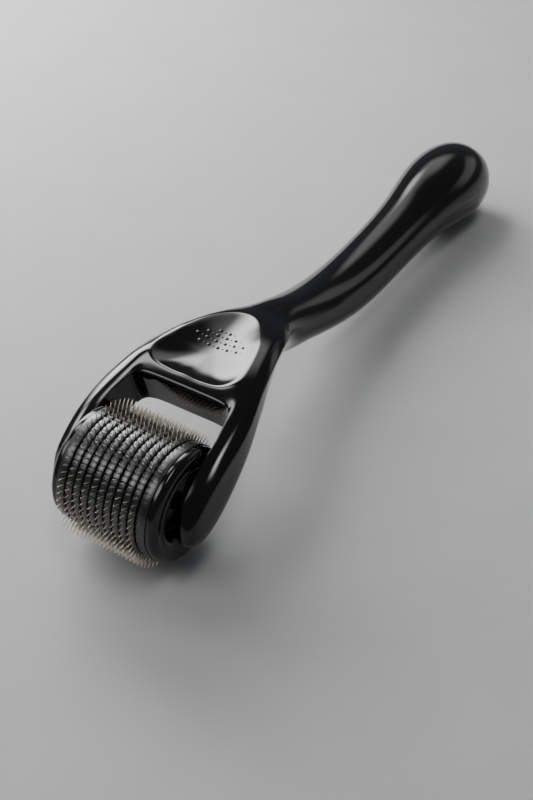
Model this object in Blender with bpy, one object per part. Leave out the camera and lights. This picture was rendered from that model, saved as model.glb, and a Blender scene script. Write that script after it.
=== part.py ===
"""Derma roller: a two-shell handle with a fork that carries a free-spinning needle drum.

Frame: +X along the drum's axle, +Y from the drum toward the handle's bulb, +Z up.
The origin is under the middle of the roller, on the surface it lies on.
All driving dimensions are in millimetres; meshes are written in metres.
"""
import math

import bmesh
import bpy
from mathutils import Matrix

MM = 0.001

# Drum
DRUM_RADIUS = 10.0
NEEDLE_TIP_RADIUS = 12.0
DISC_RADIUS = 9.5
NEEDLE_ROWS = 10
NEEDLES_PER_ROW = 60
NEEDLE_BASE_WIDTH = 0.30
ROW_PITCH = 1.54
DISC_THICKNESS = 0.30
CORE_RADIUS = 6.0
CORE_SIDES = 30
CORE_HALF_LENGTH = 6.95
BORE_RADIUS = 2.6
FLANGE_OUTER_X = 8.79
CAP_OUTER_X = 10.50
CAP_RADIUS = 9.85
CAP_RECESS_RADIUS = 6.9
CUP_RADIUS = 6.0
CUP_WALL = 0.6
CUP_FLOOR_X = 7.05
CUP_FLOOR = 0.4
CAP_HOLE_RADIUS = 1.6
PIECE_GAP = 0.05
FIT_GAP = 0.12

# Axle pins and bushings
PIN_RADIUS = 1.0
PIN_INNER_X = 3.0
PIN_OUTER_X = 13.1
BUSHING_OUTER_RADIUS = 2.5
BUSHING_INNER_X = 2.4
BUSHING_OUTER_X = 6.8
BOSS_RADIUS = 2.6
BOSS_INNER_X = 8.0

# Handle, measured from the drum's axis
HANDLE_REAR_Y = 122.4
ARM_INNER_X = 10.95
ARM_OUTER_X = 14.6
WEB_INNER_X = 9.4
WALL = 1.4
SEAM_GAP = 0.06
PEG_RADIUS = 0.9
POST_RADIUS = 1.6
PEG_STATIONS = (63.0, 100.0)

# Axle position in the part's frame: the roller lies on its needle tips and on its bulb
AXLE_Y = -(HANDLE_REAR_Y - NEEDLE_TIP_RADIUS) / 2.0
AXLE_Z = NEEDLE_TIP_RADIUS

# Handle stations from the bulb to the fork: y, centre z, half width, half height
TUBE_STATIONS = (
    (119.6, -3.45, 6.0, 6.0),
    (115.8, -3.40, 8.3, 8.3),
    (110.5, -3.00, 9.1, 9.0),
    (104.5, -2.20, 8.5, 8.4),
    (98.5, -2.00, 7.45, 7.35),
    (92.0, -2.40, 6.50, 6.45),
    (84.0, -2.85, 6.15, 6.10),
    (75.0, -3.05, 6.05, 6.00),
    (66.5, -2.70, 6.00, 5.90),
    (59.0, -1.40, 5.80, 5.65),
    (52.5, 0.40, 5.50, 5.40),
    (47.0, 2.30, 5.25, 5.30),
    (42.5, 3.80, 5.30, 5.45),
)

# Fork stations: y, blend to the flat section, half width, underside half width, top z,
# underside z, dish depth
FORK_STATIONS = (
    (39.0, 0.25, 5.9, 4.7, 9.7, 0.1, 0.0),
    (35.5, 0.55, 7.1, 4.7, 10.5, 2.4, 0.5),
    (31.0, 0.85, 8.6, 6.6, 11.3, 3.7, 2.2),
    (26.0, 1.00, 10.1, 8.7, 11.9, 4.1, 3.3),
    (21.0, 1.00, 11.6, 10.9, 11.9, 4.0, 3.3),
    (17.4, 1.00, 12.6, 12.2, 11.4, 3.6, 2.0),
    (15.3, 1.00, 13.2, 13.0, 10.7, 3.3, 0.3),
)

# Arm stations: y, inner x, outer x, top z, underside z
ARM_STATIONS = (
    (11.6, 9.9, 13.9, 9.6, 1.5),
    (8.0, 10.75, 14.4, 8.9, -0.5),
    (4.0, 10.95, 14.6, 7.8, -3.2),
    (0.5, 10.95, 14.6, 6.2, -5.0),
    (-2.6, 10.95, 14.5, 4.4, -5.3),
    (-4.9, 11.0, 14.2, 2.2, -3.9),
)

# Parting line between the two shells, in the side view: y, z
SEAM_LINE = (
    (-20.0, -1.4),
    (3.5, -1.4),
    (7.0, 0.3),
    (11.0, 2.3),
    (16.0, 4.6),
    (30.0, 5.2),
    (38.0, 4.6),
    (47.0, 2.3),
    (52.5, 0.4),
    (59.0, -1.4),
    (66.5, -2.7),
    (75.0, -3.05),
    (84.0, -2.85),
    (92.0, -2.4),
    (98.5, -2.0),
    (104.5, -2.2),
    (112.0, -3.1),
    (140.0, -3.4),
)


def clear_scene():
    """Remove every object that is already in the file."""
    for obj in list(bpy.data.objects):
        bpy.data.objects.remove(obj, do_unlink=True)


def make_material(name, color, metallic, roughness, coat=0.0):
    """Principled material from a colour, a metallic value and a roughness."""
    material = bpy.data.materials.new(name)
    material.use_nodes = True
    shader = material.node_tree.nodes["Principled BSDF"]
    shader.inputs["Base Color"].default_value = (color[0], color[1], color[2], 1.0)
    shader.inputs["Metallic"].default_value = metallic
    shader.inputs["Roughness"].default_value = roughness
    shader.inputs["Coat Weight"].default_value = coat
    material.diffuse_color = (color[0], color[1], color[2], 1.0)
    return material


def link_mesh(name, bm, material):
    """Write a bmesh built in millimetres round the axle into a named object."""
    bmesh.ops.recalc_face_normals(bm, faces=bm.faces[:])
    bmesh.ops.transform(bm, matrix=Matrix.Scale(MM, 4), verts=bm.verts[:])
    mesh = bpy.data.meshes.new(name)
    bm.to_mesh(mesh)
    bm.free()
    mesh.materials.append(material)
    obj = bpy.data.objects.new(name, mesh)
    bpy.context.scene.collection.objects.link(obj)
    return obj


def turned(profile, sides, phase=0.0):
    """Closed ring turned about X from a loop of (x, radius) points."""
    bm = bmesh.new()
    rings = []
    for k in range(sides):
        angle = phase + 2.0 * math.pi * k / sides
        ring = []
        for x, radius in profile:
            ring.append(bm.verts.new((x, radius * math.cos(angle), radius * math.sin(angle))))
        rings.append(ring)
    count = len(profile)
    for k in range(sides):
        a = rings[k]
        b = rings[(k + 1) % sides]
        for j in range(count):
            n = (j + 1) % count
            bm.faces.new((a[j], a[n], b[n], b[j]))
    return bm


def rod(x0, x1, radius, sides):
    """Solid cylinder along X with flat ends."""
    bm = bmesh.new()
    start = []
    end = []
    for k in range(sides):
        angle = 2.0 * math.pi * k / sides
        y = radius * math.cos(angle)
        z = radius * math.sin(angle)
        start.append(bm.verts.new((x0, y, z)))
        end.append(bm.verts.new((x1, y, z)))
    for k in range(sides):
        n = (k + 1) % sides
        bm.faces.new((start[k], start[n], end[n], end[k]))
    bm.faces.new(start)
    bm.faces.new(end)
    return bm


def shade_round(obj, angle=35.0):
    """Smooth shading with sharp edges kept."""
    obj.data.shade_smooth()
    obj.data.set_sharp_from_angle(angle=math.radians(angle))


def needle_disc_mesh(material):
    """Stamped disc: a thin ring whose rim carries pointed needles in its own plane."""
    bm = bmesh.new()
    half = DISC_THICKNESS / 2.0
    half_base = 0.5 * NEEDLE_BASE_WIDTH / DISC_RADIUS
    step = 2.0 * math.pi / NEEDLES_PER_ROW
    per_side = NEEDLES_PER_ROW // CORE_SIDES
    hole = CORE_RADIUS + FIT_GAP
    sides = []
    for x in (-half, half):
        outline = []
        inner = []
        for k in range(NEEDLES_PER_ROW):
            angle = -math.pi / 2.0 + k * step
            for offset, radius in ((-half_base, DISC_RADIUS), (0.0, NEEDLE_TIP_RADIUS),
                                   (half_base, DISC_RADIUS)):
                a = angle + offset
                outline.append(bm.verts.new((x, radius * math.cos(a), radius * math.sin(a))))
        for k in range(CORE_SIDES):
            a = -math.pi / 2.0 + k * per_side * step
            inner.append(bm.verts.new((x, hole * math.cos(a), hole * math.sin(a))))
        sides.append((outline, inner))
    for outline, inner in sides:
        for k in range(NEEDLES_PER_ROW):
            base_left, tip, base_right = outline[3 * k:3 * k + 3]
            bm.faces.new((base_left, tip, base_right))
            following = outline[(3 * k + 3) % len(outline)]
            near = inner[(k // per_side) % CORE_SIDES]
            if k % per_side == 0:
                bm.faces.new((base_left, base_right, near))
                bm.faces.new((base_right, following, near))
            else:
                onward = inner[(k // per_side + 1) % CORE_SIDES]
                bm.faces.new((base_left, base_right, near))
                bm.faces.new((base_right, onward, near))
                bm.faces.new((base_right, following, onward))
    for row in (0, 1):
        first = sides[0][row]
        second = sides[1][row]
        for j in range(len(first)):
            n = (j + 1) % len(first)
            bm.faces.new((first[j], first[n], second[n], second[j]))
    bmesh.ops.recalc_face_normals(bm, faces=bm.faces[:])
    bmesh.ops.transform(bm, matrix=Matrix.Scale(MM, 4), verts=bm.verts[:])
    mesh = bpy.data.meshes.new("needle_disc")
    bm.to_mesh(mesh)
    bm.free()
    mesh.materials.append(material)
    return mesh


def tube_ring(y, centre_z, half_width, half_height):
    """Eighteen points round a handle section, from the left shoulder over the top."""
    points = []
    for k in range(18):
        angle = math.radians(160.0 - 20.0 * k)
        points.append((half_width * math.cos(angle), y,
                       centre_z + half_height * math.sin(angle)))
    return points


def flat_ring(y, half_width, under_width, top, underside, dish):
    """Eighteen points round a fork section, in the same order as tube_ring."""
    side = (half_width + WEB_INNER_X * min(1.0, half_width / 13.0)) / 2.0
    inner = 2.0 * side - half_width
    narrow = under_width / half_width
    middle = (top + underside) / 2.0
    row = (
        (-half_width, top - 1.1),
        (-side, top),
        (-inner, top - 0.10 * dish),
        (-0.36 * inner, top - dish),
        (0.36 * inner, top - dish),
        (inner, top - 0.10 * dish),
        (side, top),
        (half_width, top - 1.1),
        ((half_width + under_width) / 2.0, middle),
        (under_width, underside + 0.9),
        (narrow * side, underside),
        (narrow * inner, underside),
        (0.36 * inner, underside),
        (-0.36 * inner, underside),
        (-narrow * inner, underside),
        (-narrow * side, underside),
        (-under_width, underside + 0.9),
        (-(half_width + under_width) / 2.0, middle),
    )
    return [(x, y, z) for x, z in row]


def blend_rings(first, second, amount):
    """Point by point mix of two rings."""
    mixed = []
    for a, b in zip(first, second):
        mixed.append(tuple(p + (q - p) * amount for p, q in zip(a, b)))
    return mixed


def handle_cage():
    """Control mesh of the whole handle: bulb, grip, neck, dish, web and two arms."""
    bm = bmesh.new()
    rings = []
    for station in TUBE_STATIONS:
        rings.append(tube_ring(*station))
    for y, blend, width, under_width, top, underside, dish in FORK_STATIONS:
        middle = (top + underside) / 2.0
        round_part = tube_ring(y, middle, width, (top - underside) / 2.0)
        for k in range(9, 17):
            x, _, z = round_part[k]
            round_part[k] = (x * under_width / width, y, z)
        flat_part = flat_ring(y, width, under_width, top, underside, dish)
        rings.append(blend_rings(round_part, flat_part, blend))
    loops = [[bm.verts.new(p) for p in ring] for ring in rings]
    for a, b in zip(loops, loops[1:]):
        for k in range(18):
            n = (k + 1) % 18
            bm.faces.new((a[k], a[n], b[n], b[k]))

    # Bulb end: a three-row grid that closes the last ring
    rear = loops[0]
    rear_y = HANDLE_REAR_Y + 0.35
    row_top = rear[0:8]
    row_bottom = [rear[16 - k] for k in range(8)]
    row_middle = [rear[17]]
    for k in range(1, 7):
        x = 0.5 * (row_top[k].co.x + row_bottom[k].co.x)
        depth = 1.0 - (x / 6.2) ** 2
        z = 0.5 * (row_top[k].co.z + row_bottom[k].co.z)
        row_middle.append(bm.verts.new((x, rear[0].co.y + (rear_y - rear[0].co.y) * depth, z)))
    row_middle.append(rear[8])
    for k in range(7):
        bm.faces.new((row_top[k], row_top[k + 1], row_middle[k + 1], row_middle[k]))
        bm.faces.new((row_middle[k], row_middle[k + 1], row_bottom[k + 1], row_bottom[k]))

    # Web: the front face between the arms, with its lip rows
    front = loops[-1]
    lip_top = []
    lip_bottom = []
    for k in range(2, 6):
        x = front[k].co.x
        lip_top.append(bm.verts.new((x, 13.4, 10.3)))
        lip_bottom.append(bm.verts.new((x, 14.6, 4.0)))
    lip_middle = []
    for a, b in zip(lip_top, lip_bottom):
        lip_middle.append(bm.verts.new((a.co.x, 13.9, 7.2)))
    top_back = front[2:6]
    bottom_back = [front[14 - k] for k in range(4)]
    for k in range(3):
        bm.faces.new((top_back[k], top_back[k + 1], lip_top[k + 1], lip_top[k]))
        bm.faces.new((lip_top[k], lip_top[k + 1], lip_middle[k + 1], lip_middle[k]))
        bm.faces.new((lip_middle[k], lip_middle[k + 1], lip_bottom[k + 1], lip_bottom[k]))
        bm.faces.new((lip_bottom[k], lip_bottom[k + 1], bottom_back[k + 1], bottom_back[k]))

    # Arms: rings of eight that start on the outer quarter of the front ring
    for sign in (-1, 1):
        if sign < 0:
            root = (front[2], front[1], front[0], front[17], front[16], front[15], front[14])
            web = (lip_top[0], lip_middle[0], lip_bottom[0])
        else:
            root = (front[5], front[6], front[7], front[8], front[9], front[10], front[11])
            web = (lip_top[3], lip_middle[3], lip_bottom[3])
        previous = None
        for y, inner, outer, top, underside in ARM_STATIONS:
            side = (inner + outer) / 2.0
            middle = (top + underside) / 2.0
            slope = 0.35
            points = (
                (inner, y, top - 0.5),
                (side, y + slope, top),
                (outer, y + slope, top - 1.2),
                (outer, y, middle),
                (outer, y - slope, underside + 1.2),
                (side, y - slope, underside),
                (inner, y - slope, underside + 0.8),
                (inner, y, middle),
            )
            loop = [bm.verts.new((sign * x, py, z)) for x, py, z in points]
            if previous is None:
                # The first loop joins seven root points and three web points
                for k in range(6):
                    bm.faces.new((root[k], root[k + 1], loop[k + 1], loop[k]))
                bm.faces.new((root[0], loop[0], web[0]))
                bm.faces.new((web[0], loop[0], loop[7], web[1]))
                bm.faces.new((web[1], loop[7], loop[6], web[2]))
                bm.faces.new((web[2], loop[6], root[6]))
            else:
                for k in range(8):
                    n = (k + 1) % 8
                    bm.faces.new((previous[k], previous[n], loop[n], loop[k]))
            previous = loop
        tip = bm.verts.new((sign * (ARM_INNER_X + ARM_OUTER_X) / 2.0, -6.3, -1.2))
        for k in range(0, 8, 2):
            n = (k + 1) % 8
            m = (k + 2) % 8
            bm.faces.new((previous[k], previous[n], previous[m], tip))
    bmesh.ops.recalc_face_normals(bm, faces=bm.faces[:])
    return bm


def subdivided(name, bm, levels, material):
    """Freeze a control mesh into its subdivided surface."""
    obj = link_mesh(name, bm, material)
    modifier = obj.modifiers.new("surface", "SUBSURF")
    modifier.levels = levels
    modifier.render_levels = levels
    depsgraph = bpy.context.evaluated_depsgraph_get()
    mesh = bpy.data.meshes.new_from_object(obj.evaluated_get(depsgraph))
    obj.modifiers.clear()
    old = obj.data
    obj.data = mesh
    bpy.data.meshes.remove(old)
    return obj


def side_prism(name, outline, half_width):
    """Prism along X whose side view is a loop of (y, z) points."""
    bm = bmesh.new()
    left = [bm.verts.new((-half_width, y, z)) for y, z in outline]
    right = [bm.verts.new((half_width, y, z)) for y, z in outline]
    count = len(outline)
    for k in range(count):
        n = (k + 1) % count
        bm.faces.new((left[k], left[n], right[n], right[k]))
    bm.faces.new(left)
    bm.faces.new(right)
    return cutter(name, bm)


def cutter(name, bm):
    """Guide object that only shapes others."""
    obj = link_mesh(name, bm, MATERIALS["cutter"])
    obj.hide_render = True
    obj.display_type = "WIRE"
    return obj


def cavity(name, inset):
    """Hollow of the grip and the fork head, a wall thickness inside the surface."""
    bm = bmesh.new()
    sections = []
    for y, centre_z, width, height in TUBE_STATIONS[1:]:
        shift = -1.2 if y > 114.0 else 0.0
        sections.append((y + shift, centre_z, width - inset, height - inset))
    sections.append((36.5, 5.9, 4.6, 2.3))
    sections.append((31.0, 6.3, 6.0, 1.2))
    sections.append((24.0, 6.2, 7.6, 0.9))
    sections.append((19.5, 6.2, 8.2, 0.8))
    rings = []
    for y, centre_z, width, height in sections:
        ring = []
        for k in range(12):
            angle = math.radians(15.0 + 30.0 * k)
            ring.append(bm.verts.new((width * math.cos(angle), y,
                                      centre_z + height * math.sin(angle))))
        rings.append(ring)
    for a, b in zip(rings, rings[1:]):
        for k in range(12):
            n = (k + 1) % 12
            bm.faces.new((a[k], a[n], b[n], b[k]))
    bm.faces.new(rings[0])
    bm.faces.new(rings[-1])
    return cutter(name, bm)


def post(name, y, z0, z1, radius, sides=12):
    """Upright cylinder on the centre plane."""
    bm = bmesh.new()
    low = []
    high = []
    for k in range(sides):
        angle = 2.0 * math.pi * (k + 0.5) / sides
        low.append(bm.verts.new((radius * math.cos(angle), y + radius * math.sin(angle), z0)))
        high.append(bm.verts.new((radius * math.cos(angle), y + radius * math.sin(angle), z1)))
    for k in range(sides):
        n = (k + 1) % sides
        bm.faces.new((low[k], low[n], high[n], high[k]))
    bm.faces.new(low)
    bm.faces.new(high)
    return cutter(name, bm)


def seam_z(y):
    """Height of the parting line at a station along the handle."""
    for (y0, z0), (y1, z1) in zip(SEAM_LINE, SEAM_LINE[1:]):
        if y0 <= y <= y1:
            return z0 + (z1 - z0) * (y - y0) / (y1 - y0)
    return SEAM_LINE[-1][1]


def wall_reach(y):
    """Distance from the seam to the middle of the grip's wall, at a station."""
    for (y1, _, _, h1), (y0, _, _, h0) in zip(TUBE_STATIONS, TUBE_STATIONS[1:]):
        if y0 <= y <= y1:
            return h0 + (h1 - h0) * (y - y0) / (y1 - y0) - 0.5 * WALL
    return TUBE_STATIONS[0][3]


def apply_boolean(obj, operation, tool):
    """Apply one exact Boolean and keep the result as the object's mesh."""
    modifier = obj.modifiers.new(operation, "BOOLEAN")
    modifier.operation = operation
    modifier.solver = "EXACT"
    modifier.object = tool
    depsgraph = bpy.context.evaluated_depsgraph_get()
    mesh = bpy.data.meshes.new_from_object(obj.evaluated_get(depsgraph))
    obj.modifiers.clear()
    old = obj.data
    obj.data = mesh
    bpy.data.meshes.remove(old)


def tidy_solid(obj):
    """Weld the cut edges and drop slivers."""
    bm = bmesh.new()
    bm.from_mesh(obj.data)
    bmesh.ops.remove_doubles(bm, verts=bm.verts[:], dist=0.000005)
    bmesh.ops.dissolve_degenerate(bm, dist=0.000004, edges=bm.edges[:])
    bmesh.ops.triangulate(bm, faces=bm.faces[:])
    bmesh.ops.recalc_face_normals(bm, faces=bm.faces[:])
    bm.to_mesh(obj.data)
    bm.free()


def build_handle():
    """Outer surface, split along the seam into two hollow shells with pegs."""
    upper = subdivided("handle_upper_shell", handle_cage(), 1, MATERIALS["shell"])
    lower = subdivided("handle_lower_shell", handle_cage(), 1, MATERIALS["shell_lower"])
    hollow = cavity("guide_cavity", WALL)
    above = [(y, z + SEAM_GAP) for y, z in SEAM_LINE] + [(140.0, 40.0), (-20.0, 40.0)]
    below = [(y, z - SEAM_GAP) for y, z in SEAM_LINE] + [(140.0, -40.0), (-20.0, -40.0)]
    apply_boolean(upper, "INTERSECT", side_prism("guide_above", above, 30.0))
    apply_boolean(lower, "INTERSECT", side_prism("guide_below", below, 30.0))
    apply_boolean(upper, "DIFFERENCE", hollow)
    apply_boolean(lower, "DIFFERENCE", hollow)

    # Axle bosses on the arms' inner faces, and the bores the pins are pressed into
    for side, sign in (("left", -1), ("right", 1)):
        boss = cutter("guide_boss_" + side,
                      rod(sign * BOSS_INNER_X, sign * (ARM_INNER_X + 1.0), BOSS_RADIUS, 24))
        apply_boolean(upper, "UNION", boss)
        bore = cutter("guide_bore_" + side,
                      rod(sign * (BOSS_INNER_X - 1.0), sign * (PIN_OUTER_X + PIECE_GAP),
                          PIN_RADIUS + PIECE_GAP, 16))
        apply_boolean(upper, "DIFFERENCE", bore)
        relief = cutter("guide_relief_" + side,
                        rod(sign * (BOSS_INNER_X - 1.0), sign * (ARM_INNER_X + 1.06),
                            BOSS_RADIUS + PIECE_GAP, 24))
        apply_boolean(lower, "DIFFERENCE", relief)

    # Locating posts: the lower shell's peg enters the upper shell's socket
    for number, y in enumerate(PEG_STATIONS):
        seam = seam_z(y)
        reach = wall_reach(y)
        label = str(number + 1)
        apply_boolean(lower, "UNION",
                      post("guide_post_" + label, y, seam - reach, seam - SEAM_GAP,
                           POST_RADIUS))
        apply_boolean(lower, "UNION",
                      post("guide_peg_" + label, y, seam - 1.5, seam + 2.6, PEG_RADIUS))
        apply_boolean(upper, "UNION",
                      post("guide_socket_" + label, y, seam + SEAM_GAP, seam + reach,
                           POST_RADIUS + 0.6))
        apply_boolean(upper, "DIFFERENCE",
                      post("guide_socket_bore_" + label, y, seam - 1.0, seam + 2.9,
                           PEG_RADIUS + 0.1))
    tidy_solid(upper)
    tidy_solid(lower)
    shade_round(upper, 40.0)
    shade_round(lower, 40.0)
    return [upper, lower]


def build_drum():
    """Core, needle discs, spacer rings, flanges, caps and bushings on the axle's line."""
    pieces = []
    core_profile = (
        (-CORE_HALF_LENGTH, BORE_RADIUS),
        (-CORE_HALF_LENGTH, CORE_RADIUS),
        (CORE_HALF_LENGTH, CORE_RADIUS),
        (CORE_HALF_LENGTH, BORE_RADIUS),
    )
    phase = -math.pi / 2.0
    core = link_mesh("drum_core", turned(core_profile, CORE_SIDES, phase), MATERIALS["core"])
    pieces.append(core)

    disc_mesh = needle_disc_mesh(MATERIALS["needle"])
    first_x = -ROW_PITCH * (NEEDLE_ROWS - 1) / 2.0
    for k in range(NEEDLE_ROWS):
        disc = bpy.data.objects.new("needle_disc_%02d" % (k + 1), disc_mesh)
        bpy.context.scene.collection.objects.link(disc)
        disc.location = ((first_x + k * ROW_PITCH) * MM, 0.0, 0.0)
        pieces.append(disc)

    half = ROW_PITCH / 2.0 - DISC_THICKNESS / 2.0 - PIECE_GAP
    hole = CORE_RADIUS + FIT_GAP
    spacer_profile = (
        (-half, hole),
        (-half, DRUM_RADIUS),
        (half, DRUM_RADIUS),
        (half, hole),
    )
    for k in range(NEEDLE_ROWS - 1):
        spacer = link_mesh("spacer_ring_%02d" % (k + 1),
                           turned(spacer_profile, CORE_SIDES, phase), MATERIALS["spacer"])
        spacer.location = ((first_x + (k + 0.5) * ROW_PITCH) * MM, 0.0, 0.0)
        shade_round(spacer)
        pieces.append(spacer)

    flange_start = -first_x + DISC_THICKNESS / 2.0 + PIECE_GAP
    for side, sign in (("left", -1), ("right", 1)):
        flange_profile = (
            (sign * flange_start, hole),
            (sign * flange_start, DRUM_RADIUS),
            (sign * (FLANGE_OUTER_X - 0.25), DRUM_RADIUS),
            (sign * FLANGE_OUTER_X, DRUM_RADIUS - 0.15),
            (sign * FLANGE_OUTER_X, hole),
        )
        flange = link_mesh("flange_ring_" + side, turned(flange_profile, 48, phase),
                           MATERIALS["flange"])
        shade_round(flange)
        pieces.append(flange)

        face = FLANGE_OUTER_X + PIECE_GAP
        cap_profile = (
            (sign * CUP_FLOOR_X, CAP_HOLE_RADIUS),
            (sign * CUP_FLOOR_X, CUP_RADIUS),
            (sign * face, CUP_RADIUS),
            (sign * face, CAP_RADIUS),
            (sign * (face + 0.50), CAP_RADIUS - 0.05),
            (sign * (face + 1.10), CAP_RADIUS - 0.35),
            (sign * (CAP_OUTER_X - 0.15), CAP_RADIUS - 0.95),
            (sign * CAP_OUTER_X, CAP_RADIUS - 1.65),
            (sign * (CAP_OUTER_X - 0.05), CAP_RECESS_RADIUS + 0.5),
            (sign * (CAP_OUTER_X - 0.30), CAP_RECESS_RADIUS),
            (sign * (CAP_OUTER_X - 1.10), CUP_RADIUS + 0.3),
            (sign * (CAP_OUTER_X - 1.30), CUP_RADIUS - CUP_WALL),
            (sign * (CUP_FLOOR_X + CUP_FLOOR), CUP_RADIUS - CUP_WALL),
            (sign * (CUP_FLOOR_X + CUP_FLOOR), CAP_HOLE_RADIUS),
        )
        cap = link_mesh("end_cap_" + side, turned(cap_profile, 48, phase), MATERIALS["cap"])
        shade_round(cap)
        pieces.append(cap)

        bushing_profile = (
            (sign * BUSHING_INNER_X, PIN_RADIUS + FIT_GAP),
            (sign * BUSHING_INNER_X, BUSHING_OUTER_RADIUS),
            (sign * BUSHING_OUTER_X, BUSHING_OUTER_RADIUS),
            (sign * BUSHING_OUTER_X, PIN_RADIUS + FIT_GAP),
        )
        bushing = link_mesh("bushing_" + side, turned(bushing_profile, CORE_SIDES, phase),
                            MATERIALS["bushing"])
        shade_round(bushing)
        pieces.append(bushing)
    return pieces


def build_pins():
    """Steel stub axles pressed into the arms' bosses."""
    pieces = []
    for side, sign in (("left", -1), ("right", 1)):
        pin = link_mesh("axle_pin_" + side,
                        rod(sign * PIN_INNER_X, sign * PIN_OUTER_X, PIN_RADIUS, 16),
                        MATERIALS["pin"])
        shade_round(pin)
        pieces.append(pin)
    return pieces


def level_handle(shells):
    """Bring the bulb's underside to the floor and its end to the stated length."""
    low = min(v.co.z for v in shells[1].data.vertices if v.co.y > 0.08)
    far = max(v.co.y for shell in shells for v in shell.data.vertices)
    target_low = -AXLE_Z * MM
    target_far = HANDLE_REAR_Y * MM
    for shell in shells:
        for vertex in shell.data.vertices:
            amount = min(max((vertex.co.y - 0.066) / 0.056, 0.0), 1.0)
            vertex.co.z += (target_low - low) * amount
            vertex.co.y += (target_far - far) * amount


def empty_at(name, location, parent=None):
    """Parent frame."""
    empty = bpy.data.objects.new(name, None)
    empty.empty_display_size = 0.01
    empty.location = location
    bpy.context.scene.collection.objects.link(empty)
    empty.parent = parent
    return empty


clear_scene()

MATERIALS = {
    "shell": make_material("gloss_black_shell", (0.010, 0.010, 0.012), 0.0, 0.08, 1.0),
    "shell_lower": make_material("gloss_black_shell_lower", (0.012, 0.012, 0.014), 0.0, 0.10, 1.0),
    "core": make_material("black_core", (0.02, 0.02, 0.02), 0.0, 0.5),
    "needle": make_material("titanium_needle", (0.78, 0.70, 0.58), 1.0, 0.28),
    "spacer": make_material("brushed_graphite", (0.33, 0.33, 0.34), 1.0, 0.35),
    "flange": make_material("satin_graphite", (0.24, 0.24, 0.25), 1.0, 0.32),
    "cap": make_material("gloss_black_cap", (0.012, 0.012, 0.013), 0.0, 0.12, 1.0),
    "bushing": make_material("white_acetal", (0.75, 0.74, 0.70), 0.0, 0.45),
    "pin": make_material("polished_steel", (0.62, 0.62, 0.62), 1.0, 0.2),
    "cutter": make_material("guide", (0.8, 0.2, 0.2), 0.0, 0.5),
}

roller = empty_at("roller_frame", (0.0, AXLE_Y * MM, AXLE_Z * MM))
drum_frame = empty_at("drum_frame", (0.0, 0.0, 0.0), roller)

shell_pieces = build_handle()
level_handle(shell_pieces)
for piece in shell_pieces + build_pins():
    piece.parent = roller
for piece in build_drum():
    piece.parent = drum_frame
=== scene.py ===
"""Derma roller, studio scene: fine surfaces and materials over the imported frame."""
import math

import bmesh
import bpy
import numpy as np
from mathutils import Matrix, Vector, bvhtree


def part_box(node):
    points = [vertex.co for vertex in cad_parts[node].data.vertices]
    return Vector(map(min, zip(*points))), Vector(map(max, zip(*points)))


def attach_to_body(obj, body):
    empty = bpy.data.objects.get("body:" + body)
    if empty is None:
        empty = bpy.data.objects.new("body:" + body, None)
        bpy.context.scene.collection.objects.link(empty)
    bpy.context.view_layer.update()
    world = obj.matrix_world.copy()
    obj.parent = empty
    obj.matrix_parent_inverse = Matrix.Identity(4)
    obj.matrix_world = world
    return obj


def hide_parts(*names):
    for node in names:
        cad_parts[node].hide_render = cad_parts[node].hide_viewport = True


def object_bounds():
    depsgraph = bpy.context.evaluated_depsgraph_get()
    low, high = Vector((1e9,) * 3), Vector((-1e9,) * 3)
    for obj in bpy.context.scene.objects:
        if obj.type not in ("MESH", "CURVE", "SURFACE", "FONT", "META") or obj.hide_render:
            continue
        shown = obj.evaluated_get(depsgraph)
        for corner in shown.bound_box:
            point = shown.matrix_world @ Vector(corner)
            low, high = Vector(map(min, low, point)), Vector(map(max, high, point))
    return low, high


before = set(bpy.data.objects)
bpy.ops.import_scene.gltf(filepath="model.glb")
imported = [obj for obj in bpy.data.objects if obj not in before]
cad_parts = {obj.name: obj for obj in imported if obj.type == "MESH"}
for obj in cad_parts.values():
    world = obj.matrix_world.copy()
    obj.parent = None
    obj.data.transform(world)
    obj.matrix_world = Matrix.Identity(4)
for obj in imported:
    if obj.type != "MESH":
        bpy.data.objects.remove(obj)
cad_low, cad_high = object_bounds()

MM = 0.001

# Axle position and drum sizes, read back from the frame
disc_low, disc_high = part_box("needle_disc_01")
AXLE = Vector((0.0, (disc_low[1] + disc_high[1]) / 2.0, (disc_low[2] + disc_high[2]) / 2.0))
NEEDLE_TIP = (disc_high[2] - disc_low[2]) / 2.0 / MM
HANDLE_REAR = (cad_high[1] - AXLE[1]) / MM

DRUM_RADIUS = 10.0
GROOVE_RADIUS = 9.45
CORE_RADIUS = 6.12
NEEDLES = 60
ROW_PITCH = 1.54
ROWS = 10
BAND_HALF = 0.635
FLANGE_INNER_X = 7.13
FLANGE_OUTER_X = 8.79
CAP_OUTER_X = 10.50

WEB_INNER_X = 9.4
ARM_INNER_X = 10.95
ARM_OUTER_X = 14.6

# Grip stations from the bulb to the neck: y, centre z, half width, half height
TUBE_STATIONS = (
    (119.6, -3.45, 6.0, 6.0),
    (115.8, -3.40, 8.3, 8.3),
    (110.5, -3.00, 9.1, 9.0),
    (104.5, -2.20, 8.5, 8.4),
    (98.5, -2.00, 7.45, 7.35),
    (92.0, -2.40, 6.50, 6.45),
    (84.0, -2.85, 6.15, 6.10),
    (75.0, -3.05, 6.05, 6.00),
    (66.5, -2.70, 6.00, 5.90),
    (59.0, -1.40, 5.80, 5.65),
    (52.5, 0.40, 5.50, 5.40),
    (47.0, 2.30, 5.25, 5.30),
    (42.5, 3.80, 5.30, 5.45),
)

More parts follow.
